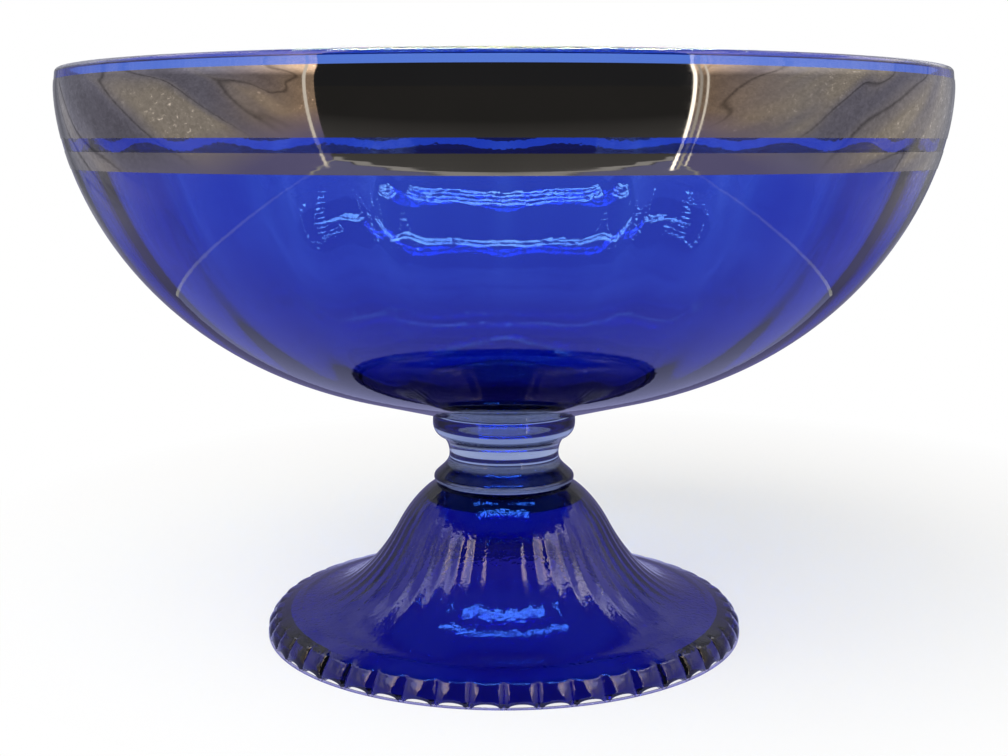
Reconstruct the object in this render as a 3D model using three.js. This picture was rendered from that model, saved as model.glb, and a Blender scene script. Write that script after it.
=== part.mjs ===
import * as THREE from "three";

// A footed glass bowl: a ribbed bowl with two silver bands, a wafer, a waisted stem and a fluted
// foot with a scalloped edge. Millimetres, Z up, origin on the table under the bowl's axis.

// Foot, from the table up
const footRadius = 120; // standing edge, at the tip of a scallop
const footHeight = 74.5; // table to the flat top of the foot
const footTopRadius = 34;
const footWall = 5.5; // thickness of the hollow dome
const footCrown = 9; // solid glass over the hollow
const shoulderRadius = 54; // where the dome stops swelling and starts to flare
const shoulderHeight = 52;
const shoulderSlope = 28; // degrees from upright at the shoulder
const brimRadius = 103; // where the flare meets the sloping brim
const brimHeight = 14;
const crestRadius = 115.8; // upper edge of the scalloped side
const crestHeight = 10.3;
const standingWidth = 9; // flat ring that rests on the table
const edgeRounding = 1.8; // softened lower edge
const scallopCount = 48;
const scallopDepth = 2.5; // groove between two scallops
const scallopBelly = 2 / 3; // share of the side's lean that is done at half its height
const fluteDepth = 0.4; // half the height of the dome's flutes
const domeTopOut = 0.36; // the dome's roundness, as shares of its height
const domeTopDown = 0.17;
const domeFullness = 0.44;
const flareFullness = 0.37; // the flare's roundness, as shares of its fall
const flareReach = 0.74;
const flareLift = 0.08;

// Stem
const jointGap = 0.3; // between two glass pieces that are fused on the real bowl
const stemHeight = 23.3;
const stemBaseRadius = 35.4;
const stemBaseRise = 2.6; // stem's lower face to its widest ring
const stemWaistRadius = 27.6;
const stemWaistRise = 14.7;
const stemTopRadius = 30.9;
const skirtLean = 3; // how far the skirt keeps the slope it has at the base ring
const waistRoundBelow = 5;
const waistRoundAbove = 4;

// Wafer between stem and bowl
const waferHeight = 12;
const waferRadius = 35.9;
const waferFootRadius = 31.5;
const waferShoulderRadius = 34.9;
const waferShoulderRise = 3;
const waferWidestRise = 7.2;
const waferTopRadius = 35.6;

// Bowl
const bowlRadius = 210; // widest outside radius
const bowlDepth = 156; // seat to the widest ring
const bowlSeatRadius = 36;
const coneSlope = 15.5; // degrees, where the bowl leaves its seat
const coneLength = 50; // straight stretch before the wall starts to turn up
const conePull = 93.5; // how far the swell keeps the cone's direction
const wallPull = 43.8; // how far the swell stays upright under the widest ring
const lipRise = 10; // widest ring to the rim
const lipInset = 1.1; // how far the rim leans in
const rimWall = 4.5;
const floorWall = 9;
const wallPower = 5; // over 1 keeps the wall thin and thickens it only near the floor
const ribCount = 28;
const ribDepth = 0.5; // half the height of the ribs inside
const ribCrestShare = 1.6; // over 1 draws the tallest stretch of the ribs upwards
const ringSpacing = 4; // least step between the bands' rings and the glass below them
const floorRounding = 1; // the inside starts this far over its floor

// Silver bands, measured down from the rim
const filmThickness = 0.2;
const filmGap = 0.1; // clearance of the film over the glass
const wideBandDrop = 5.5;
const wideBandHeight = 25.6;
const bandSpacing = 5.5;
const narrowBandHeight = 7.8;

// How finely round stretches are cut
const bowlSides = 3 * ribCount;
const footSides = 3 * scallopCount;
const stemSides = 48;
const curveSteps = 5;
const shortCurveSteps = 3;
const coneSteps = 3;
const swellSteps = 14;
const wideBandSteps = 3;
const narrowBandSteps = 1;
const halvings = 40; // rounds of the search for a height on a curve

const stemSeat = footHeight + jointGap;
const waferSeat = stemSeat + stemHeight + jointGap;
const bowlSeat = waferSeat + waferHeight + jointGap;
const rimHeight = bowlSeat + bowlDepth + lipRise;

const blueGlass = new THREE.MeshStandardMaterial({ color: 0x1b2fa8, roughness: 0.06, metalness: 0 });
const deepBlueGlass = new THREE.MeshStandardMaterial({ color: 0x0c0a86, roughness: 0.06, metalness: 0 });
const paleGlass = new THREE.MeshStandardMaterial({ color: 0x7f9bd6, roughness: 0.06, metalness: 0 });
const silverFilm = new THREE.MeshStandardMaterial({ color: 0x87827d, roughness: 0.12, metalness: 1 });

const point = (radius, height) => new THREE.Vector2(radius, height);

// Turns an outline of radius and height round the axis. reshape gives each point of the outline
// its radius at an angle, for ribs, flutes and scallops.
function turned(name, outline, sides, material, reshape = (radius) => radius) {
  const geometry = new THREE.LatheGeometry(outline, sides);
  geometry.rotateX(Math.PI / 2);
  const place = geometry.getAttribute("position");
  for (let side = 0; side <= sides; side += 1) {
    const angle = (2 * Math.PI * (side % sides)) / sides;
    outline.forEach((start, step) => {
      const radius = start.x > 0 ? reshape(start.x, start.y, angle, step) : 0;
      const index = side * outline.length + step;
      place.setXYZ(index, radius * Math.sin(angle), -radius * Math.cos(angle), start.y);
    });
  }
  geometry.deleteAttribute("normal");
  geometry.deleteAttribute("uv");
  const mesh = new THREE.Mesh(geometry, material);
  mesh.name = name;
  return mesh;
}

// Moves an outline sideways by a wall thickness that may change from point to point.
function inset(outline, wallAt) {
  return outline.map((here, step) => {
    const before = outline[Math.max(step - 1, 0)];
    const after = outline[Math.min(step + 1, outline.length - 1)];
    const along = after.clone().sub(before).normalize();
    const wall = wallAt(here);
    return point(here.x - along.y * wall, here.y + along.x * wall);
  });
}

// An inner face carries half the rings of the outer one.
const everyOther = (outline) => outline.filter((_, step) => step % 2 === 0);

function radiusOnCurve(curve, height) {
  let low = 0;
  let high = 1;
  for (let round = 0; round < halvings; round += 1) {
    const middle = (low + high) / 2;
    if (curve.getPoint(middle).y < height) low = middle;
    else high = middle;
  }
  return curve.getPoint(low).x;
}

// Bowl outside: a cone over the seat, then one long swell up to the widest ring
const coneAngle = THREE.MathUtils.degToRad(coneSlope);
const alongCone = point(Math.cos(coneAngle), Math.sin(coneAngle));
const coneStart = point(bowlSeatRadius, bowlSeat);
const coneEnd = coneStart.clone().addScaledVector(alongCone, coneLength);
const widestRing = point(bowlRadius, bowlSeat + bowlDepth);
const bowlCone = new THREE.LineCurve(coneStart, coneEnd);
const bowlSwell = new THREE.CubicBezierCurve(
  coneEnd,
  coneEnd.clone().addScaledVector(alongCone, conePull),
  point(widestRing.x, widestRing.y - wallPull),
  widestRing,
);
const rimRadius = bowlRadius - lipInset;
const wallRadiusAt = (height) => {
  const overWidest = (height - widestRing.y) / lipRise;
  return overWidest > 0 ? bowlRadius - lipInset * overWidest : radiusOnCurve(bowlSwell, height);
};

const wideBandTop = rimHeight - wideBandDrop;
const wideBandBottom = wideBandTop - wideBandHeight;
const narrowBandTop = wideBandBottom - bandSpacing;
const narrowBandBottom = narrowBandTop - narrowBandHeight;

// Glass and film follow the same rings, so each film keeps its clearance all over.
function wallRings(bottom, top, steps) {
  const rings = [];
  for (let step = 0; step <= steps; step += 1) {
    const height = bottom + ((top - bottom) * step) / steps;
    rings.push(point(wallRadiusAt(height), height));
  }
  return rings;
}
const wideRings = wallRings(wideBandBottom, wideBandTop, wideBandSteps);
const narrowRings = wallRings(narrowBandBottom, narrowBandTop, narrowBandSteps);

function makeBowl() {
  const belowBands = ({ y }) => y < narrowBandBottom - ringSpacing;
  const swell = bowlSwell.getPoints(swellSteps).slice(1).filter(belowBands);
  const outside = [...bowlCone.getPoints(coneSteps), ...swell, ...narrowRings, ...wideRings];
  const rise = rimHeight - bowlSeat;
  const wallAt = ({ y }) => rimWall + (floorWall - rimWall) * ((rimHeight - y) / rise) ** wallPower;
  const third = rimWall / 3; // the lip is rounded over in thirds of the wall
  const lip = [
    point(rimRadius, rimHeight - third),
    point(rimRadius - third, rimHeight),
    point(rimRadius - 2 * third, rimHeight),
    point(rimRadius - rimWall, rimHeight - third),
  ];
  const floorHeight = bowlSeat + floorWall;
  const innerFace = inset(outside, wallAt).filter(({ y }) => y > floorHeight + floorRounding);
  const inside = everyOther(innerFace.reverse());
  const outline = [point(0, bowlSeat), ...outside, ...lip, ...inside, point(0, floorHeight)];
  const firstInside = outside.length + lip.length;
  const ribFade = (height) => Math.sin(Math.PI * ((height - bowlSeat) / rise) ** ribCrestShare);
  return turned("bowl", outline, bowlSides, blueGlass, (radius, height, angle, step) => (
    step > firstInside ? radius + ribDepth * ribFade(height) * Math.cos(ribCount * angle) : radius
  ));
}

function makeBand(name, rings) {
  const back = rings.map(({ x, y }) => point(x + filmGap, y)).reverse();
  const skin = rings.map(({ x, y }) => point(x + filmGap + filmThickness, y));
  return turned(name, [...skin, ...back, skin[0]], bowlSides, silverFilm);
}

function makeWafer() {
  const top = waferSeat + waferHeight;
  const side = new THREE.SplineCurve([
    point(waferFootRadius, waferSeat),
    point(waferShoulderRadius, waferSeat + waferShoulderRise),
    point(waferRadius, waferSeat + waferWidestRise),
    point(waferTopRadius, top),
  ]);
  const outline = [point(0, waferSeat), ...side.getPoints(curveSteps), point(0, top)];
  return turned("wafer", outline, stemSides, paleGlass);
}

function makeStem() {
  const top = stemSeat + stemHeight;
  const baseRing = stemSeat + stemBaseRise;
  const waist = stemSeat + stemWaistRise;
  const ring = new THREE.EllipseCurve(
    stemBaseRadius - stemBaseRise, baseRing, stemBaseRise, stemBaseRise, -Math.PI / 2, Math.PI / 4,
  );
  const ringEnd = ring.getPoint(1);
  const skirt = new THREE.CubicBezierCurve(
    ringEnd,
    point(ringEnd.x - skirtLean, ringEnd.y + skirtLean),
    point(stemWaistRadius, waist - waistRoundBelow),
    point(stemWaistRadius, waist),
  );
  const neck = new THREE.QuadraticBezierCurve(
    point(stemWaistRadius, waist),
    point(stemWaistRadius, waist + waistRoundAbove),
    point(stemTopRadius, top),
  );
  return turned("stem", [
    point(0, stemSeat),
    ...ring.getPoints(shortCurveSteps),
    ...skirt.getPoints(curveSteps).slice(1),
    ...neck.getPoints(shortCurveSteps).slice(1),
    point(0, top),
  ], stemSides, paleGlass);
}

function makeFoot() {
  const slope = THREE.MathUtils.degToRad(shoulderSlope);
  const shoulder = point(shoulderRadius, shoulderHeight);
  const upShoulder = point(-Math.sin(slope), Math.cos(slope));
  const swell = footHeight - shoulderHeight;
  const fall = shoulderHeight - brimHeight;
  const dome = new THREE.CubicBezierCurve(
    point(footTopRadius, footHeight),
    point(footTopRadius + domeTopOut * swell, footHeight - domeTopDown * swell),
    shoulder.clone().addScaledVector(upShoulder, domeFullness * swell),
    shoulder,
  );
  const flare = new THREE.CubicBezierCurve(
    shoulder,
    shoulder.clone().addScaledVector(upShoulder, -flareFullness * fall),
    point(brimRadius - flareReach * fall, brimHeight + flareLift * fall),
    point(brimRadius, brimHeight),
  );
  const upper = [...dome.getPoints(curveSteps - 1), ...flare.getPoints(curveSteps).slice(1)];
  const underside = inset(upper, () => -footWall).filter(({ y }) => y < footHeight - footCrown);
  const hollow = everyOther(underside);
  const side = [
    point(footRadius - edgeRounding, 0),
    point(footRadius, edgeRounding),
    point(THREE.MathUtils.lerp(crestRadius, footRadius, scallopBelly), crestHeight / 2),
    point(crestRadius, crestHeight),
  ];
  const below = [point(0, hollow[0].y), ...hollow, point(footRadius - standingWidth, 0)];
  const outline = [...below, ...side, ...upper.reverse(), point(0, footHeight)];
  const domeStart = below.length + side.length;
  const scallop = (angle) => scallopDepth * (Math.abs(Math.sin((scallopCount * angle) / 2)) - 1);
  const flute = (height, angle) => {
    const share = (height - brimHeight) / (footHeight - brimHeight);
    return fluteDepth * Math.sin(Math.PI * share) * Math.cos(scallopCount * angle);
  };
  return turned("foot", outline, footSides, deepBlueGlass, (radius, height, angle, step) => {
    if (step < below.length) return radius;
    return radius + (step < domeStart ? scallop(angle) : flute(height, angle));
  });
}

const compote = new THREE.Group();
compote.add(
  makeFoot(),
  makeStem(),
  makeWafer(),
  makeBowl(),
  makeBand("wide_band", wideRings),
  makeBand("narrow_band", narrowRings),
);

export default compote;
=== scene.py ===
import math

import bmesh
import bpy
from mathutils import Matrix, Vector
from mathutils.geometry import interpolate_bezier


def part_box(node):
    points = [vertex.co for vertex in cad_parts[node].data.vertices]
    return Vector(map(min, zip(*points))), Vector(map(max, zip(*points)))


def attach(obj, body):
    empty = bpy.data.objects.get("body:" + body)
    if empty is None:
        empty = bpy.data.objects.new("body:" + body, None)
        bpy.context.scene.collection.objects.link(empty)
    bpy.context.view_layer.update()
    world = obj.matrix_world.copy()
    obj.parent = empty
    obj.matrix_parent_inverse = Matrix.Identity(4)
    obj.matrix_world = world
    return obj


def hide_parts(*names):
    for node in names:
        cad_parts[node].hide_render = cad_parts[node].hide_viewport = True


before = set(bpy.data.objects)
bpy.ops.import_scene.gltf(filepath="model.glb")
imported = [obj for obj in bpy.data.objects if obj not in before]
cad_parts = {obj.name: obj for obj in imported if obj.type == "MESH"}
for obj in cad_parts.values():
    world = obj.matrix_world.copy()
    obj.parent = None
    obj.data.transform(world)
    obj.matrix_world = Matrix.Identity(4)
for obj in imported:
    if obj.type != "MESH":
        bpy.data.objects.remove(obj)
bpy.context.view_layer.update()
mm = 0.001  # shapes are drawn in millimetres and brought to metres when they are finished
cadGap = 0.3  # the CAD solids stand this far apart, face to face
fused = 0.2  # how far two pieces of glass run into each other where they are fused
skin = 1.5  # a point this close to the outside of a shape belongs to the outside
onePoint = 0.01  # points of an outline closer than this are one
crease = 40  # degrees: an edge that turns more than this stays sharp


# Shape helpers. A point of an outline is a radius and a height

# Heights of the lower and the upper side of a CAD node
def heightsOf(node):
    low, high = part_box(node)
    return low.z / mm, high.z / mm


def clamped(share):
    return min(max(share, 0), 1)


def moved(point, step):
    return (point[0] + step[0], point[1] + step[1])


def scaled(step, times):
    return (step[0] * times, step[1] * times)


def straight(start, end, steps):
    across, up = end[0] - start[0], end[1] - start[1]
    return [(start[0] + across * i / steps, start[1] + up * i / steps) for i in range(steps + 1)]


def arc(centre, radius, start, end, steps):
    turns = [math.radians(start + (end - start) * i / steps) for i in range(steps + 1)]
    return [(centre[0] + radius * math.cos(t), centre[1] + radius * math.sin(t)) for t in turns]


# A curve between two points. A pull, across and up, leads from an end of the curve to its handle
def curve(start, startPull, endPull, end, steps):
    knots = [Vector((x, 0, z)) for x, z in (start, moved(start, startPull), moved(end, endPull), end)]
    return [(point.x, point.z) for point in interpolate_bezier(*knots, steps + 1)]


# Runs of points one after the other, without the points they share
def joined(*runs):
    line = []
    for run in runs:
        for point in run:
            if not line or math.dist(line[-1], point) > onePoint:
                line.append(point)
    return line


# The line moved sideways by a wall that may change along it
def inset(line, wallAt):
    shifted = []
    for i, (x, z) in enumerate(line):
        before, after = line[max(i - 1, 0)], line[min(i + 1, len(line) - 1)]
        share = wallAt(z) / math.dist(before, after)
        shifted.append((x - (after[1] - before[1]) * share, z + (after[0] - before[0]) * share))
    return shifted


# Gives the radius of a rising line at any height
def radiusAlong(line):
    def radiusAt(height):
        if height <= line[0][1]:
            return line[0][0]
        for (x0, z0), (x1, z1) in zip(line, line[1:]):
            if height <= z1:
                return x0 + (x1 - x0) * (height - z0) / (z1 - z0)
        return line[-1][0]
    return radiusAt


# Spins an outline once round the Z axis: one sector, then copies of it
def turn(outline, sides, closed=False):
    sectors = next(n for n in (12, 8, 6, 4, 1) if sides % n == 0)
    bm = bmesh.new()
    verts = [bm.verts.new((0, -x, z)) for x, z in outline]
    edges = [bm.edges.new(pair) for pair in zip(verts, verts[1:])]
    if closed:
        edges.append(bm.edges.new((verts[-1], verts[0])))
    bmesh.ops.spin(bm, geom=verts + edges, cent=(0, 0, 0), axis=(0, 0, 1), angle=math.tau / sectors,
                   steps=sides // sectors, use_merge=False, use_duplicate=False)
    whole = bm.verts[:] + bm.edges[:] + bm.faces[:]
    bmesh.ops.spin(bm, geom=whole, cent=(0, 0, 0), axis=(0, 0, 1), use_duplicate=True,
                   angle=math.tau * (sectors - 1) / sectors, steps=sectors - 1)
    bmesh.ops.remove_doubles(bm, verts=bm.verts, dist=0.0005)
    return bm


# Radius of a vertex and its angle from the front
def radiusAndAngle(vert):
    return math.hypot(vert.co.x, vert.co.y), math.atan2(vert.co.x, -vert.co.y)


# Gives each vertex off the axis the radius that radiusAt says for its radius, height and angle
def reshape(bm, radiusAt):
    for vert in bm.verts:
        radius, angle = radiusAndAngle(vert)
        if radius > onePoint:
            share = radiusAt(radius, vert.co.z, angle) / radius
            vert.co.x *= share
            vert.co.y *= share


def finishPiece(bm, name, material, node):
    bmesh.ops.recalc_face_normals(bm, faces=bm.faces)
    bmesh.ops.scale(bm, vec=(mm, mm, mm), verts=bm.verts)
    for face in bm.faces:
        face.smooth = True
    for edge in bm.edges:
        edge.smooth = edge.calc_face_angle(0) < math.radians(crease)
    mesh = bpy.data.meshes.new(name)
    bm.to_mesh(mesh)
    bm.free()
    mesh.materials.append(material)
    piece = bpy.data.objects.new(name, mesh)
    bpy.context.scene.collection.objects.link(piece)
    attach(piece, "root")
    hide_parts(node)
    print("made", name, len(mesh.polygons), "faces")


# Material helpers

def linear(hexColour):
    channels = [int(hexColour[i:i + 2], 16) / 255 for i in (1, 3, 5)]
    curved = [c / 12.92 if c <= 0.04045 else ((c + 0.055) / 1.055) ** 2.4 for c in channels]
    return (*curved, 1)


# Adds a node. inputs holds values, or sockets to link from, by input name or number
def addNode(tree, kind, settings=None, inputs=None):
    node = tree.nodes.new(kind)
    for key, value in (settings or {}).items():
        setattr(node, key, value)
    for key, value in (inputs or {}).items():
        if isinstance(value, bpy.types.NodeSocket):
            tree.links.new(value, node.inputs[key])
        else:
            node.inputs[key].default_value = value
    return node


# A Mix node has several inputs called A and B, so its numbers and its colours go by number
numberA, numberB, numberOut = 2, 3, 0
colourA, colourB, colourOut = 6, 7, 2


def newMaterial(name):
    material = bpy.data.materials.new(name)
    material.use_nodes = True
    tree = material.node_tree
    tree.nodes.clear()
    return material, tree, addNode(tree, "ShaderNodeOutputMaterial")


# Finish of each glass. Sizes are in millimetres, and density is how strongly the glass takes light away
bowlFinish = {
    "colour": "#209AEC", "density": 515, "shine": 0.0,
    "waveSize": 30, "waveHeight": 0.06, "peelHeight": 0.006,
}
footFinish = {
    "colour": "#422DEA", "density": 740, "shine": 0.3,
    "waveSize": 18, "waveHeight": 0.06, "peelHeight": 0.095,
}
stemFinish = {
    "colour": "#397CCB", "density": 25, "shine": 0.0,
    "waveSize": 16, "waveHeight": 0.04, "peelHeight": 0.004,
}
# Shared by all: the marks start and end at these values of their noise
glassSurface = {
    "peelSize": 1.8, "markSize": 35.7,
    "markStart": 0.55, "markEnd": 0.8, "markRoughness": 0.015,
}


# Cobalt soda-lime glass, pressed and fire polished: clear and hard-edged in its reflections, blue only
# through its depth. The surface keeps a slow waviness, a fine peel that breaks up what it mirrors, and a
# trace of handling marks
def cobaltGlass(name, finish):
    surface = glassSurface
    material, tree, out = newMaterial(name)
    place = addNode(tree, "ShaderNodeTexCoord").outputs["Object"]
    waves = addNode(tree, "ShaderNodeTexNoise", inputs={
        "Vector": place, "Scale": 1 / (finish["waveSize"] * mm), "Detail": 1.5, "Roughness": 0.4})
    slow = addNode(tree, "ShaderNodeBump", inputs={
        "Strength": 1.0, "Distance": finish["waveHeight"] * mm, "Height": waves.outputs["Fac"]})
    peel = addNode(tree, "ShaderNodeTexNoise", inputs={
        "Vector": place, "Scale": 1 / (surface["peelSize"] * mm), "Detail": 1.0, "Roughness": 0.4})
    bump = addNode(tree, "ShaderNodeBump", inputs={
        "Strength": 1.0, "Distance": finish["peelHeight"] * mm, "Height": peel.outputs["Fac"],
        "Normal": slow.outputs["Normal"]})
    marks = addNode(tree, "ShaderNodeTexNoise", inputs={
        "Vector": place, "Scale": 1 / (surface["markSize"] * mm), "Detail": 6, "Roughness": 0.7})
    rough = addNode(tree, "ShaderNodeMapRange", inputs={
        "Value": marks.outputs["Fac"], "From Min": surface["markStart"], "From Max": surface["markEnd"],
        "To Min": 0.0, "To Max": surface["markRoughness"]})
    glass = addNode(tree, "ShaderNodeBsdfPrincipled", inputs={
        "Base Color": (1, 1, 1, 1), "IOR": 1.52, "Transmission Weight": 1.0, "Coat Weight": finish["shine"],
        "Coat IOR": 1.8, "Coat Roughness": 0.01, "Coat Normal": bump.outputs["Normal"],
        "Roughness": rough.outputs["Result"], "Normal": bump.outputs["Normal"]})
    depth = addNode(tree, "ShaderNodeVolumeAbsorption", inputs={
        "Color": linear(finish["colour"]), "Density": finish["density"]})
    tree.links.new(glass.outputs["BSDF"], out.inputs["Surface"])
    tree.links.new(depth.outputs["Volume"], out.inputs["Volume"])
    return material


lustreFinish = {
    "dark": "#7E7A76", "pale": "#8F8A84", "cloudSize": 38.46,
    "strokeSpacing": 1.4286,  # coarser than a real brush leaves them, so that the strokes show
    "strokeLength": 111.1, "strokeHeight": 0.01,
    "worn": (0.15, 0.4), "roughness": (0.02, 0.07),
}


# Silver lustre, painted on in turns of a wheel and fired: a warm mirror with faint rings from the brush
def silverLustre():
    finish = lustreFinish
    along, rings = 1 / (finish["strokeLength"] * mm), 1 / (finish["strokeSpacing"] * mm)
    material, tree, out = newMaterial("silver_lustre")
    place = addNode(tree, "ShaderNodeTexCoord").outputs["Object"]
    drawn = addNode(tree, "ShaderNodeMapping", inputs={"Vector": place, "Scale": (along, along, rings)})
    strokes = addNode(tree, "ShaderNodeTexNoise", inputs={
        "Vector": drawn.outputs["Vector"], "Scale": 1, "Detail": 3, "Roughness": 0.6})
    clouds = addNode(tree, "ShaderNodeTexNoise", inputs={
        "Vector": place, "Scale": 1 / (finish["cloudSize"] * mm), "Detail": 4, "Roughness": 0.6})
    tone = addNode(tree, "ShaderNodeMix", {"data_type": "RGBA"}, {
        "Factor": clouds.outputs["Fac"], colourA: linear(finish["dark"]), colourB: linear(finish["pale"])})
    worn = addNode(tree, "ShaderNodeMath", {"operation": "MULTIPLY"}, {
        0: strokes.outputs["Fac"], 1: clouds.outputs["Fac"]})
    rough = addNode(tree, "ShaderNodeMapRange", inputs={
        "Value": worn.outputs["Value"], "From Min": finish["worn"][0], "From Max": finish["worn"][1],
        "To Min": finish["roughness"][0], "To Max": finish["roughness"][1]})
    bump = addNode(tree, "ShaderNodeBump", inputs={
        "Strength": 0.25, "Distance": finish["strokeHeight"] * mm, "Height": strokes.outputs["Fac"]})
    metal = addNode(tree, "ShaderNodeBsdfPrincipled", inputs={
        "Base Color": tone.outputs[colourOut], "Metallic": 1.0,
        "Roughness": rough.outputs["Result"], "Normal": bump.outputs["Normal"]})
    tree.links.new(metal.outputs["BSDF"], out.inputs["Surface"])
    return material


bowlGlass = cobaltGlass("cobalt_glass_bowl", bowlFinish)
footGlass = cobaltGlass("cobalt_glass_foot", footFinish)
stemGlass = cobaltGlass("pale_glass_stem", stemFinish)
lustre = silverLustre()
print("glass and lustre ready")

# Camera: eye level just under the rim, tilted down at the foot. The focal length is in pixels of a picture
# of the given width, the place in metres
cameraShot = {
    "place": (0.0, -0.7193, 0.2439), "tiltDown": 9.2214,
    "focalPixels": 1450, "pictureWidth": 1008, "sensor": 36, "nearest": 0.01,
}


def makeCamera():
    data = bpy.data.cameras.new("camera")
    data.sensor_width = cameraShot["sensor"]
    data.lens = cameraShot["focalPixels"] * cameraShot["sensor"] / cameraShot["pictureWidth"]
    data.clip_start = cameraShot["nearest"]
    camera = bpy.data.objects.new("camera", data)
    camera.location = cameraShot["place"]
    camera.rotation_euler = (math.radians(90 - cameraShot["tiltDown"]), 0, 0)
    bpy.context.scene.collection.objects.link(camera)
    bpy.context.scene.camera = camera


makeCamera()
print("camera ready")

# Foot: hollow fluted dome, a flare and a sloping brim with a scalloped side
footShape = {
    "radius": 120, "topRadius": 34, "shoulder": (54, 52), "brim": (103, 14), "crest": (115.8, 10.3),
    "shoulderSlope": 28,  # degrees from upright
    # pulls as shares of the height of the dome, then of the flare
    "domeTopPull": (0.36, -0.17), "domePull": 0.44, "flarePull": 0.37, "brimPull": (-0.74, 0.08),
    "crestRound": [(-1, 0.35), (-0.35, 0.05), (0.2, -0.4), (0.5, -1.1)],  # points seen from the crest
    "sidePulls": ((2.1, -2.9), (0, 3)), "edge": 0.8, "standing": 9,
    "wall": 5.5, "crown": 9, "hollowMargin": 3, "hollowLowest": 0.6,
    # the roof of the hollow, with its pulls as shares of its width
    "roofRise": 1.5, "roofPull": 0.5, "roofEdgePull": 0.2, "roofEdgeRise": 1,
    "scallops": 48, "sidesPerScallop": 12,
    # depths of the grooves at the crest and on the table, and how far they reach in over the brim
    "grooveTop": 2.3, "grooveFoot": 1.3, "grooveReach": 7, "grooveSharpness": 0.28,
    "pastBrim": 0.5,  # past this, the surface has grooves instead of flutes
    "underCrest": 2,  # below the crest, points up to this much further in are moved too
    "flute": 0.21, "fluteLow": 1.15, "fluteEnd": 0.98, "flutePlumpness": 0.7, "fluteSharpness": 1.35,
    # each scallop is arched a little off the table, between its grooves and over a thin ring
    "arch": 2.4, "archInside": 112, "archReach": 3.5, "archNarrowing": 0.34, "archFlatness": 0.42,
    "ringWidth": 1.5, "ringHeight": 0.75, "ringBevel": 0.1, "ringSides": 288,
}


# From the top of the foot down to the brim's crest
def footOutside():
    shape = footShape
    shoulder, brim = shape["shoulder"], shape["brim"]
    topEdge = (shape["topRadius"], heightsOf("foot")[1])
    swell, fall = topEdge[1] - shoulder[1], shoulder[1] - brim[1]
    slope = math.radians(shape["shoulderSlope"])
    climb = (-math.sin(slope), math.cos(slope))
    dome = curve(topEdge, scaled(shape["domeTopPull"], swell), scaled(climb, shape["domePull"] * swell),
                 shoulder, steps=26)
    flare = curve(shoulder, scaled(climb, -shape["flarePull"] * fall), scaled(shape["brimPull"], fall),
                  brim, steps=30)
    return joined(dome, flare, straight(brim, moved(shape["crest"], shape["crestRound"][0]), steps=12))


def footOutline(outside):
    shape = footShape
    radius, edge = shape["radius"], shape["edge"]
    top, standing = heightsOf("foot")[1], radius - shape["standing"]
    crest = [moved(shape["crest"], step) for step in shape["crestRound"][1:]]
    side = curve(crest[-1], *shape["sidePulls"], (radius, edge), steps=10)
    heel = arc((radius - edge, edge), edge, 0, -90, steps=4)
    rest = straight((standing, 0), (radius - edge, 0), steps=4)
    inner = standing - shape["hollowMargin"]
    hollow = [(x, z) for x, z in inset(outside, lambda z: -shape["wall"])
              if x < inner and shape["hollowLowest"] < z < top - shape["crown"]]
    width, roof = hollow[0]
    ceiling = curve((0, roof + shape["roofRise"]), (shape["roofPull"] * width, 0),
                    (-shape["roofEdgePull"] * width, shape["roofEdgeRise"]), (width, roof), steps=8)
    lid = straight((0, top), (shape["topRadius"], top), steps=6)
    return joined(lid, outside, crest, side, heel, rest[::-1], hollow[::-1], ceiling[::-1])


# 0 in a groove between two scallops, 1 at the middle of a scallop
def scallopRipple(angle):
    return abs(math.sin(footShape["scallops"] * angle / 2))


# Cuts the grooves into the brim's side and the soft flutes into the dome
def fluteFoot(bm, outside):
    shape = footShape
    top = heightsOf("foot")[1]
    brimRadius, brimHeight = shape["brim"]
    crestRadius, crestHeight = shape["crest"]
    lastRadius, lastHeight = outside[-1]
    outsideAt = radiusAlong([(lastRadius - shape["underCrest"], lastHeight)] + outside[::-1])

    def radiusAt(radius, height, angle):
        if radius <= outsideAt(height) - skin:
            return radius
        ripple = scallopRipple(angle)
        if radius > brimRadius + shape["pastBrim"]:
            share = clamped(height / crestHeight)
            depth = shape["grooveFoot"] + (shape["grooveTop"] - shape["grooveFoot"]) * share
            fade = clamped((radius - crestRadius) / shape["grooveReach"] + 1) ** 2
            return radius + depth * fade * (ripple ** shape["grooveSharpness"] - 1)
        share = clamped((height - brimHeight) / (top - brimHeight))
        way = min(share * shape["fluteLow"], shape["fluteEnd"])
        swell = math.sin(math.pi * way) ** shape["flutePlumpness"]
        return radius + shape["flute"] * swell * (1 - 2 * ripple ** shape["fluteSharpness"])

    reshape(bm, radiusAt)


# Lifts the underside of each scallop
def archScallops(bm):
    shape = footShape
    crestHeight = shape["crest"][1]
    for vert in bm.verts:
        radius, angle = radiusAndAngle(vert)
        outward = clamped((radius - shape["archInside"]) / shape["archReach"])
        opened = outward * max(1 - vert.co.z / crestHeight, 0)
        if opened > 0:
            span = max(scallopRipple(angle) - shape["archNarrowing"], 0) / (1 - shape["archNarrowing"])
            vert.co.z += shape["arch"] * opened * span ** shape["archFlatness"]


# The thin ring on the table that the arches stand on
def addRing(bm):
    shape = footShape
    outer, tall = shape["radius"], shape["ringHeight"]
    inner, bevel = outer - shape["ringWidth"], outer - shape["ringBevel"]
    outline = [(inner, 0), (bevel, 0), (outer, tall / 2), (bevel, tall), (inner, tall)]
    ring = turn(outline, shape["ringSides"], closed=True)
    ringMesh = bpy.data.meshes.new("foot_ring")
    ring.to_mesh(ringMesh)
    ring.free()
    bm.from_mesh(ringMesh)
    bpy.data.meshes.remove(ringMesh)


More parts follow.
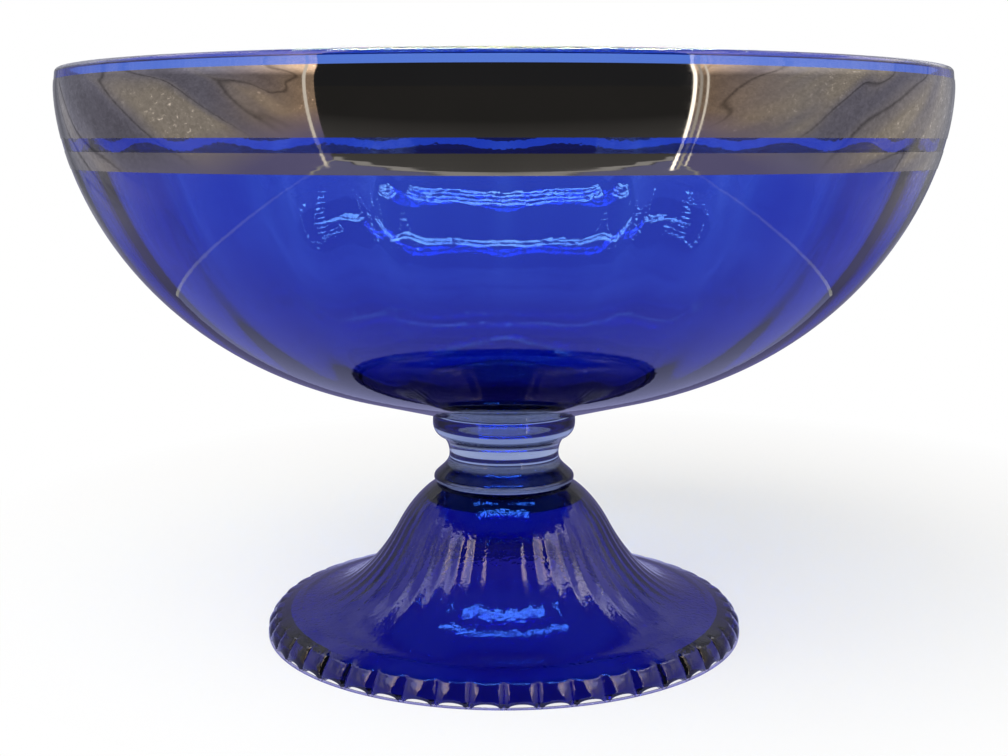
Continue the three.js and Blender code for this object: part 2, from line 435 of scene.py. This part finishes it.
def makeFoot():
    outside = footOutside()
    bm = turn(footOutline(outside), footShape["scallops"] * footShape["sidesPerScallop"])
    fluteFoot(bm, outside)
    archScallops(bm)
    addRing(bm)
    finishPiece(bm, "foot_glass", footGlass, "foot")


makeFoot()

# Stem: a ring at its base, a skirt, a waist and a neck
stemShape = {
    "baseRadius": 35.4, "baseRise": 2.6, "ringEnd": 45, "seatInset": 3, "ringInset": 2.6,
    "waistRadius": 27.6, "waistRise": 14.7, "topRadius": 30.9, "topInset": 2,
    "skirtPulls": ((-3, 3), (0, -5)), "neckPulls": ((0, 3), (-2.3, -2)),
    "sides": 192,
}


def makeStem():
    shape = stemShape
    low, high = heightsOf("stem")
    seat, roof = low - cadGap - fused, high + cadGap
    ringRadius = shape["baseRadius"] - shape["baseRise"]
    ring = arc((ringRadius, low + shape["baseRise"]), shape["baseRise"], -90, shape["ringEnd"], steps=14)
    waist = (shape["waistRadius"], low + shape["waistRise"])
    skirt = curve(ring[-1], *shape["skirtPulls"], waist, steps=18)
    neck = curve(waist, *shape["neckPulls"], (shape["topRadius"], high), steps=12)
    bottom = [(0, seat), (ringRadius - shape["seatInset"], seat), (ringRadius - shape["ringInset"], low)]
    lid = [(shape["topRadius"] - shape["topInset"], roof), (0, roof)]
    bm = turn(joined(bottom, ring, skirt, neck, lid), shape["sides"])
    finishPiece(bm, "stem_glass", stemGlass, "stem")


makeStem()

# Wafer: a rounded button between stem and bowl
waferShape = {
    "radius": 35.9, "footRadius": 31.5, "topRadius": 35.6, "widest": 7.2,
    "underPulls": ((2.4, 0.8), (0, -4)), "overPulls": ((0, 2.5), (0, -1)),
    "seatInset": 2.5, "topInset": 2, "sides": 192,
}


def makeWafer():
    shape = waferShape
    low, high = heightsOf("wafer")
    seat, roof = low - fused, high + cadGap
    widest = (shape["radius"], low + shape["widest"])
    under = curve((shape["footRadius"], low), *shape["underPulls"], widest, steps=14)
    over = curve(widest, *shape["overPulls"], (shape["topRadius"], high), steps=8)
    bottom = [(0, seat), (shape["footRadius"] - shape["seatInset"], seat)]
    lid = [(shape["topRadius"] - shape["topInset"], roof), (0, roof)]
    bm = turn(joined(bottom, under, over, lid), shape["sides"])
    finishPiece(bm, "wafer_glass", stemGlass, "wafer")


makeWafer()

# Bowl: cone over the seat, one long swell to the widest ring, soft ribs on the inside only
bowlShape = {
    "radius": 210, "widest": 266.7, "seatRadius": 36, "seatInset": 3,
    "coneSlope": 15.5, "coneLength": 50, "conePull": 93.5, "wallPull": 43.8,
    "lipInset": 0.7, "lipPulls": ((0, 3), (0.3, -3)),
    "rimWall": 4.5, "floorWall": 9, "wallPower": 5,
    # the floor inside, with its pulls as shares of its width
    "floorRound": 2.2, "floorPull": 0.5, "floorEdgePull": 0.2, "floorEdgeRise": 0.4,
    "ribs": 28, "rib": 0.45, "ribTop": 0.94,
    "ribCrest": 1.6,  # over 1, so that the ribs are tallest above the middle
    "sidesPerRib": 12,
}


def bowlOutside():
    shape = bowlShape
    low, high = heightsOf("bowl")
    slope = math.radians(shape["coneSlope"])
    along = (math.cos(slope), math.sin(slope))
    seat = (shape["seatRadius"], low)
    coneEnd = moved(seat, scaled(along, shape["coneLength"]))
    widest = (shape["radius"], shape["widest"])
    cone = straight(seat, coneEnd, steps=14)
    swell = curve(coneEnd, scaled(along, shape["conePull"]), (0, -shape["wallPull"]), widest, steps=90)
    lipStart = (shape["radius"] - shape["lipInset"], high - shape["rimWall"] / 2)
    lip = curve(widest, *shape["lipPulls"], lipStart, steps=10)
    return joined(cone, swell, lip)


def makeBowl():
    shape = bowlShape
    low, high = heightsOf("bowl")
    rise, floorTop, seat = high - low, low + shape["floorWall"], low - cadGap - fused

    def wallAt(height):
        thicker = shape["floorWall"] - shape["rimWall"]
        return shape["rimWall"] + thicker * ((high - height) / rise) ** shape["wallPower"]

    outside = bowlOutside()
    inside = [(x, z) for x, z in inset(outside, wallAt) if z > floorTop + shape["floorRound"]]
    lipRadius = shape["rimWall"] / 2
    lip = arc((outside[-1][0] - lipRadius, outside[-1][1]), lipRadius, 0, 180, steps=14)
    width, height = inside[0]
    floor = curve((0, floorTop), (shape["floorPull"] * width, 0),
                  (-shape["floorEdgePull"] * width, floorTop + shape["floorEdgeRise"] - height),
                  (width, height), steps=14)
    bottom = [(0, seat), (shape["seatRadius"] - shape["seatInset"], seat)]
    bm = turn(joined(bottom, outside, lip, inside[::-1], floor[::-1]), shape["ribs"] * shape["sidesPerRib"])
    outsideAt = radiusAlong(outside)

    def radiusAt(radius, height, angle):
        if radius > outsideAt(height) - skin or height > high - shape["rimWall"]:
            return radius
        share = max((height - low) / rise, 0)
        fade = math.sin(math.pi * min(share / shape["ribTop"], 1) ** shape["ribCrest"])
        return radius + shape["rib"] * fade * math.cos(shape["ribs"] * angle)

    reshape(bm, radiusAt)
    finishPiece(bm, "bowl_glass", bowlGlass, "bowl")


makeBowl()

# Bands: thin fired film that follows the glass
bandShape = {"film": 0.16, "bite": 0.05, "steps": 24, "sides": 360}


def makeBand(name, node):
    shape = bandShape
    outsideAt = radiusAlong(bowlOutside())
    low, high = heightsOf(node)
    heights = [low + (high - low) * i / shape["steps"] for i in range(shape["steps"] + 1)]
    front = [(outsideAt(z) + shape["film"], z) for z in heights]
    back = [(outsideAt(z) - shape["bite"], z) for z in heights]
    bm = turn(front + back[::-1], shape["sides"], closed=True)
    finishPiece(bm, name, lustre, node)


makeBand("wide_silver_band", "wide_band")
makeBand("narrow_silver_band", "narrow_band")
print("foot, stem, wafer, bowl and bands ready")


# Stage helpers, in metres

def stageMesh(name, quads, material, camera=False, diffuse=False, through=False):
    bm = bmesh.new()
    for corners in quads:
        bm.faces.new([bm.verts.new(corner) for corner in corners])
    mesh = bpy.data.meshes.new(name)
    bm.to_mesh(mesh)
    bm.free()
    mesh.materials.append(material)
    thing = bpy.data.objects.new(name, mesh)
    bpy.context.scene.collection.objects.link(thing)
    thing.visible_camera = camera
    thing.visible_diffuse = diffuse
    thing.visible_transmission = through
    thing.visible_shadow = camera


def glowMaterial(name, hexColour, strength):
    material, tree, out = newMaterial(name)
    glow = addNode(tree, "ShaderNodeEmission", inputs={"Color": linear(hexColour), "Strength": strength})
    tree.links.new(glow.outputs["Emission"], out.inputs["Surface"])
    return material


def upright(x0, y0, x1, y1, top):
    return [(x0, y0, 0), (x1, y1, 0), (x1, y1, top), (x0, y0, top)]


def flat(x0, y0, x1, y1, height):
    return [(x0, y0, height), (x1, y0, height), (x1, y1, height), (x0, y1, height)]


# Light tent round the object, 0.72 m wide with its front open. Only reflections show it, and it gives the
# glass and the bands their light and dark shapes. Its ceiling, seams, poles and lining are drawn as glow,
# with their light painted in
tent = {
    "wallX": 0.362, "front": -0.5, "back": 0.22, "height": 0.8,
    "ceilingHue": "#F2EDE4", "ceilingGlow": 0.1, "ceilingLift": 0.01,
    "seamHue": "#FFFFFF", "seamGlow": 0.9, "seamWidth": 0.013, "seamLift": 0.002,
    "poleHue": "#FFF8EC", "poleY": -0.455,
    # poles and flaps at the open front, their brightness painted light: left side, right side and glow
    "poles": [(-0.351, -0.341, 2.2), (0.316, 0.326, 6.0), (0.334, 0.343, 1.2), (0.355, 0.38, 2.5)],
}
# Each row of the painted fold light and shade, the painted hairline highlights and the painted shades
# says what it follows, from where to where, and its values there. The rows of a list are multiplied. A tint
# is full at its first place and gone at its second
lining = {
    "slant": -50, "stretch": 3.5, "foldsPerMetre": 9, "crinklesPerMetre": 170,
    # below these heights the painted folds fade out, where the lining lies in the bowl's painted shade
    "smoothBelow": (0.12, 0.19),
    "paintedFoldLight": [("fold", 0.36, 0.64, 0.55, 1.15), ("fromCrease", 0.0, 0.014, 0.45, 1.0),
              ("crinkle", 0.35, 0.7, 0.82, 1.2)],
    "hairlineHighlights": [("crinkle", 0.66, 0.72, 0.0, 2.0), ("fold", 0.54, 0.62, 0.0, 1.0)],
    # shades are painted light: a little darker low down, much brighter near the lights under the ceiling,
    # and painted shade towards the back
    "shades": [("height", 0.05, 0.22, 0.9412, 1.0), ("height", 0.3, 0.37, 0.85, 3.6),
               ("depth", 0.05, 0.21, 1.0, 0.5)],
    "hue": "#EFE6DC",
    # of the tints, the first is bluish painted shade in the folds' hollows and the last is the violet
    # painted shade of the bowl low on the walls
    "tints": [("fold", 0.44, 0.6, "#D6D6F4"), ("depth", -0.46, -0.25, "#FFDDBE"),
              ("depth", 0.25, -0.05, "#DDDFF0"), ("height", 0.08, 0.18, "#B0ACF0")],
}


# The tent's lining, drawn as glow with its light and shade painted in: broad slanting folds with
# painted light and shade, painted shade in thin creases and painted highlights on pale hairlines, over
# a smooth foot tinted violet as the bowl's painted shade. It is warm at the front of the tent, bluish and
# darker at its back as painted shade, and brightest near the top as painted light from the lights above
def liningMaterial():
    material, tree, out = newMaterial("tent_lining")
    place = addNode(tree, "ShaderNodeTexCoord").outputs["Object"]
    axes = addNode(tree, "ShaderNodeSeparateXYZ", inputs={0: place}).outputs
    turned = (math.radians(lining["slant"]), 0, 0)
    slant = addNode(tree, "ShaderNodeMapping", {"vector_type": "TEXTURE"}, {
        "Vector": place, "Rotation": turned, "Scale": (1, 1, lining["stretch"])})
    folds = addNode(tree, "ShaderNodeTexNoise", inputs={
        "Vector": slant.outputs["Vector"], "Scale": lining["foldsPerMetre"],
        "Detail": 2.0, "Roughness": 0.5, "Distortion": 0.3})
    creases = addNode(tree, "ShaderNodeTexNoise", inputs={
        "Vector": slant.outputs["Vector"], "Scale": lining["foldsPerMetre"],
        "Detail": 1.5, "Roughness": 0.45, "Distortion": 0.3})
    crinkles = addNode(tree, "ShaderNodeTexNoise", inputs={
        "Vector": place, "Scale": lining["crinklesPerMetre"],
        "Detail": 2, "Roughness": 0.6, "Distortion": 1.0})
    middle = addNode(tree, "ShaderNodeMath", {"operation": "SUBTRACT"}, {0: creases.outputs["Fac"], 1: 0.5})
    fromCrease = addNode(tree, "ShaderNodeMath", {"operation": "ABSOLUTE"}, {0: middle.outputs["Value"]})
    follows = {
        "fold": folds.outputs["Fac"], "crinkle": crinkles.outputs["Fac"],
        "fromCrease": fromCrease.outputs["Value"], "height": axes["Z"], "depth": axes["Y"]}
    products = {}
    for part in ("paintedFoldLight", "hairlineHighlights", "shades"):
        product = 1.0
        for source, start, end, startValue, endValue in lining[part]:
            ramp = addNode(tree, "ShaderNodeMapRange", inputs={
                "Value": follows[source], "From Min": start, "From Max": end,
                "To Min": startValue, "To Max": endValue})
            product = addNode(tree, "ShaderNodeMath", {"operation": "MULTIPLY"}, {
                0: product, 1: ramp.outputs["Result"]}).outputs["Value"]
        products[part] = product
    foldLightAndHighlights = addNode(tree, "ShaderNodeMath", {"operation": "ADD"}, {
        0: products["paintedFoldLight"], 1: products["hairlineHighlights"]})
    smoothTo, foldLightFrom = lining["smoothBelow"]
    aboveFoot = addNode(tree, "ShaderNodeMapRange", inputs={
        "Value": follows["height"], "From Min": smoothTo, "From Max": foldLightFrom})
    smooth = addNode(tree, "ShaderNodeMix", {"data_type": "FLOAT"}, {
        "Factor": aboveFoot.outputs["Result"], numberA: 1.0, numberB: foldLightAndHighlights.outputs["Value"]})
    strength = addNode(tree, "ShaderNodeMath", {"operation": "MULTIPLY"}, {
        0: smooth.outputs[numberOut], 1: products["shades"]})
    hue = linear(lining["hue"])
    for source, full, gone, tint in lining["tints"]:
        ramp = addNode(tree, "ShaderNodeMapRange", inputs={
            "Value": follows[source], "From Min": full, "From Max": gone})
        hue = addNode(tree, "ShaderNodeMix", {"data_type": "RGBA"}, {
            "Factor": ramp.outputs["Result"], colourA: linear(tint), colourB: hue}).outputs[colourOut]
    glow = addNode(tree, "ShaderNodeEmission", inputs={"Color": hue, "Strength": strength.outputs["Value"]})
    tree.links.new(glow.outputs["Emission"], out.inputs["Surface"])
    return material


def makeTent():
    x, front, back, top = tent["wallX"], tent["front"], tent["back"], tent["height"]
    walls = [upright(-x, front, -x, back, top), upright(x, front, x, back, top),
             upright(-x, back, x, back, top)]
    stageMesh("tent_walls", walls, liningMaterial())
    stageMesh("tent_ceiling", [flat(-x, front, x, back, top + tent["ceilingLift"])],
              glowMaterial("tent_ceiling", tent["ceilingHue"], tent["ceilingGlow"]))
    width, half, lift = tent["seamWidth"], tent["seamWidth"] / 2, tent["seamLift"]
    seams = [flat(-x - half, front, -x + half, back, lift), flat(x - half, front, x + half, back, lift),
             flat(-x, front - width, x, front, lift)]
    stageMesh("tent_seams", seams, glowMaterial("tent_seams", tent["seamHue"], tent["seamGlow"]))
    for i, (left, right, glow) in enumerate(tent["poles"]):
        stageMesh(f"tent_pole_{i}", [upright(left, tent["poleY"], right, tent["poleY"], top)],
                  glowMaterial(f"tent_pole_{i}", tent["poleHue"], glow))


# Floor, in metres from the middle of the object
floorLook = {
    "size": 12, "colour": "#F3F0E8",
    # painted white covers the floor's real shading, thinning to shadowShare round shadowPlace behind the
    # object, where the real shadow shows as a soft grey
    "shadowPlace": (0.06, 0.2, 0), "shadowReach": (0.1, 0.42), "shadowShare": 0.6,
    # seen through the glass, under the foot and away from it: shares of painted white, less under the foot
    # # so that its real shadow shows
    "throughReach": (0.105, 0.15), "throughShare": (0.35, 0.95),
    # painted glow of the floor in reflections inside the tent
    "tentHue": "#BFC2FF", "tentGlow": 0.75,
    # painted glow of the floor in reflections, in front of the tent, far off and at its edge
    "frontReach": 0.5, "frontGlow": 0.06, "sillGlow": 0.2,
}


# White where the camera or the glass looks at it, and a little less where the object shades it: painted
# white over the real shadow, thinner round a set place behind the object. In reflections it shows a
# painted glow, lavender inside the tent and a dark grey in front of it
def floorMaterial():
    look = floorLook
    material, tree, out = newMaterial("pale_floor")
    path = addNode(tree, "ShaderNodeLightPath").outputs
    place = addNode(tree, "ShaderNodeTexCoord").outputs["Object"]
    depth = addNode(tree, "ShaderNodeSeparateXYZ", inputs={0: place}).outputs["Y"]
    away = addNode(tree, "ShaderNodeVectorMath", {"operation": "LENGTH"}, {0: place})
    fromShadow = addNode(tree, "ShaderNodeVectorMath", {"operation": "DISTANCE"}, {
        0: place, 1: look["shadowPlace"]})
    shade = addNode(tree, "ShaderNodeMapRange", inputs={
        "Value": fromShadow.outputs["Value"], "From Min": look["shadowReach"][0],
        "From Max": look["shadowReach"][1], "To Min": look["shadowShare"], "To Max": 1.0})
    underFoot = addNode(tree, "ShaderNodeMapRange", inputs={
        "Value": away.outputs["Value"], "From Min": look["throughReach"][0],
        "From Max": look["throughReach"][1], "To Min": look["throughShare"][0],
        "To Max": look["throughShare"][1]})
    cameraShare = addNode(tree, "ShaderNodeMath", {"operation": "MULTIPLY"}, {
        0: path["Is Camera Ray"], 1: shade.outputs["Result"]})
    throughShare = addNode(tree, "ShaderNodeMath", {"operation": "MULTIPLY"}, {
        0: path["Is Transmission Ray"], 1: underFoot.outputs["Result"]})
    seen = addNode(tree, "ShaderNodeMath", {"operation": "MAXIMUM"}, {
        0: cameraShare.outputs["Value"], 1: throughShare.outputs["Value"]})
    mirrored = addNode(tree, "ShaderNodeMath", {"operation": "SUBTRACT", "use_clamp": True}, {
        0: path["Is Glossy Ray"], 1: path["Is Transmission Ray"]})
    inFront = addNode(tree, "ShaderNodeMapRange", inputs={
        "Value": depth, "From Min": tent["front"] - look["frontReach"], "From Max": tent["front"],
        "To Min": look["frontGlow"], "To Max": look["sillGlow"]})
    inTent = addNode(tree, "ShaderNodeMath", {"operation": "GREATER_THAN"}, {0: depth, 1: tent["front"]})
    tone = addNode(tree, "ShaderNodeMix", {"data_type": "FLOAT"}, {
        "Factor": inTent.outputs["Value"], numberA: inFront.outputs["Result"], numberB: look["tentGlow"]})
    hue = addNode(tree, "ShaderNodeMix", {"data_type": "RGBA"}, {
        "Factor": inTent.outputs["Value"], colourA: (1, 1, 1, 1), colourB: linear(look["tentHue"])})
    matt = addNode(tree, "ShaderNodeBsdfDiffuse", inputs={"Color": linear(look["colour"])})
    white = addNode(tree, "ShaderNodeEmission", inputs={"Strength": 1.0})
    mirror = addNode(tree, "ShaderNodeEmission", inputs={
        "Color": hue.outputs[colourOut], "Strength": tone.outputs[numberOut]})
    plain = addNode(tree, "ShaderNodeMixShader", inputs={
        0: seen.outputs["Value"], 1: matt.outputs["BSDF"], 2: white.outputs["Emission"]})
    both = addNode(tree, "ShaderNodeMixShader", inputs={
        0: mirrored.outputs["Value"], 1: plain.outputs["Shader"], 2: mirror.outputs["Emission"]})
    tree.links.new(both.outputs["Shader"], out.inputs["Surface"])
    return material


def makeFloor():
    half = floorLook["size"] / 2
    stageMesh("floor", [flat(-half, -half, half, half, 0)], floorMaterial(),
              camera=True, diffuse=True, through=True)


# Bars of light across the tent's ceiling, four before the bowl's axis and two behind it. They also show
# through the glass
ledBars = {
    "hue": "#F4FFC8", "glow": 110, "height": 0.8, "halfLength": 0.3, "halfWidth": 0.006,
    "rows": (-0.24, -0.213, -0.186, -0.16, 0.06, 0.082),
}


def makeLedBars():
    long, wide = ledBars["halfLength"], ledBars["halfWidth"]
    bars = [flat(-long, y - wide, long, y + wide, ledBars["height"]) for y in ledBars["rows"]]
    stageMesh("led_bars", bars, glowMaterial("led_light", ledBars["hue"], ledBars["glow"]), through=True)


# Strings of small lights pinned up in bends under the tent's ceiling. The bends on the right are given, and
# the left side mirrors them
lightStrings = {
    "hue": "#F4FFC8", "glow": 320, "dot": 0.0026, "spacing": 0.028,
    "bends": [
        [(0.352, -0.03, 0.73), (0.345, 0.02, 0.795), (0.283, 0.103, 0.795), (0.254, 0.148, 0.795),
         (0.243, 0.197, 0.795), (0.301, 0.132, 0.795), (0.352, 0.068, 0.787), (0.352, -0.017, 0.743)],
        [(0.306, -0.092, 0.795), (0.253, -0.041, 0.795), (0.215, 0.016, 0.795), (0.152, 0.07, 0.795),
         (0.134, 0.127, 0.795), (0.196, 0.068, 0.795)],
    ],
}


# A small square that looks down towards the bowl's axis
def dotAt(x, y, z):
    size = lightStrings["dot"]
    away = Vector((x, y, 0)).normalized() * size
    side = Vector((-away.y, away.x, 0))
    place = Vector((x, y, z))
    drop = Vector((0, 0, size / 2))
    return [place - away - side + drop, place - away + side + drop, place + away + side - drop,
            place + away - side - drop]


def makeLightStrings():
    dots = []
    for string in lightStrings["bends"]:
        for start, end in zip(string, string[1:]):
            count = max(round(math.dist(start, end) / lightStrings["spacing"]), 1)
            for i in range(count):
                x, y, z = Vector(start).lerp(Vector(end), i / count)
                dots += [dotAt(x, y, z), dotAt(-x, y, z)]
    stageMesh("light_strings", dots,
              glowMaterial("string_light", lightStrings["hue"], lightStrings["glow"]))


# Soft lamp above, in front and to the left, which nothing mirrors
topLight = {"size": 0.9, "place": (-0.45, -0.5, 1.3), "power": 14}


def makeTopLight():
    light = bpy.data.lights.new("top_softbox", "AREA")
    light.shape = "SQUARE"
    light.size = topLight["size"]
    light.energy = topLight["power"]
    lamp = bpy.data.objects.new("top_softbox", light)
    lamp.location = topLight["place"]
    lamp.visible_glossy = False
    lamp.visible_transmission = False
    bpy.context.scene.collection.objects.link(lamp)


# Strength of the plain light from all round, and the dark grey that reflections show
surroundings = {"light": 0.5, "darkHue": "#3E4044"}


# White behind the object for the camera and through the glass, plain light on matt surfaces, and dark grey
# beyond the tent in reflections
def makeWorld():
    world = bpy.data.worlds.new("studio")
    bpy.context.scene.world = world
    world.use_nodes = True
    tree = world.node_tree
    tree.nodes.clear()
    out = addNode(tree, "ShaderNodeOutputWorld")
    path = addNode(tree, "ShaderNodeLightPath").outputs
    plain = addNode(tree, "ShaderNodeBackground", inputs={
        "Color": (1, 1, 1, 1), "Strength": surroundings["light"]})
    white = addNode(tree, "ShaderNodeBackground", inputs={"Color": (1, 1, 1, 1), "Strength": 1.0})
    dark = addNode(tree, "ShaderNodeBackground", inputs={
        "Color": linear(surroundings["darkHue"]), "Strength": 1.0})
    seen = addNode(tree, "ShaderNodeMath", {"operation": "MAXIMUM"}, {
        0: path["Is Camera Ray"], 1: path["Is Transmission Ray"]})
    unseen = addNode(tree, "ShaderNodeMixShader", inputs={
        0: path["Is Glossy Ray"], 1: plain.outputs["Background"], 2: dark.outputs["Background"]})
    both = addNode(tree, "ShaderNodeMixShader", inputs={
        0: seen.outputs["Value"], 1: unseen.outputs["Shader"], 2: white.outputs["Background"]})
    tree.links.new(both.outputs["Shader"], out.inputs["Surface"])


makeFloor()
makeTent()
makeLedBars()
makeLightStrings()
makeTopLight()
makeWorld()
bpy.context.scene.view_settings.view_transform = "Standard"
print("studio ready")
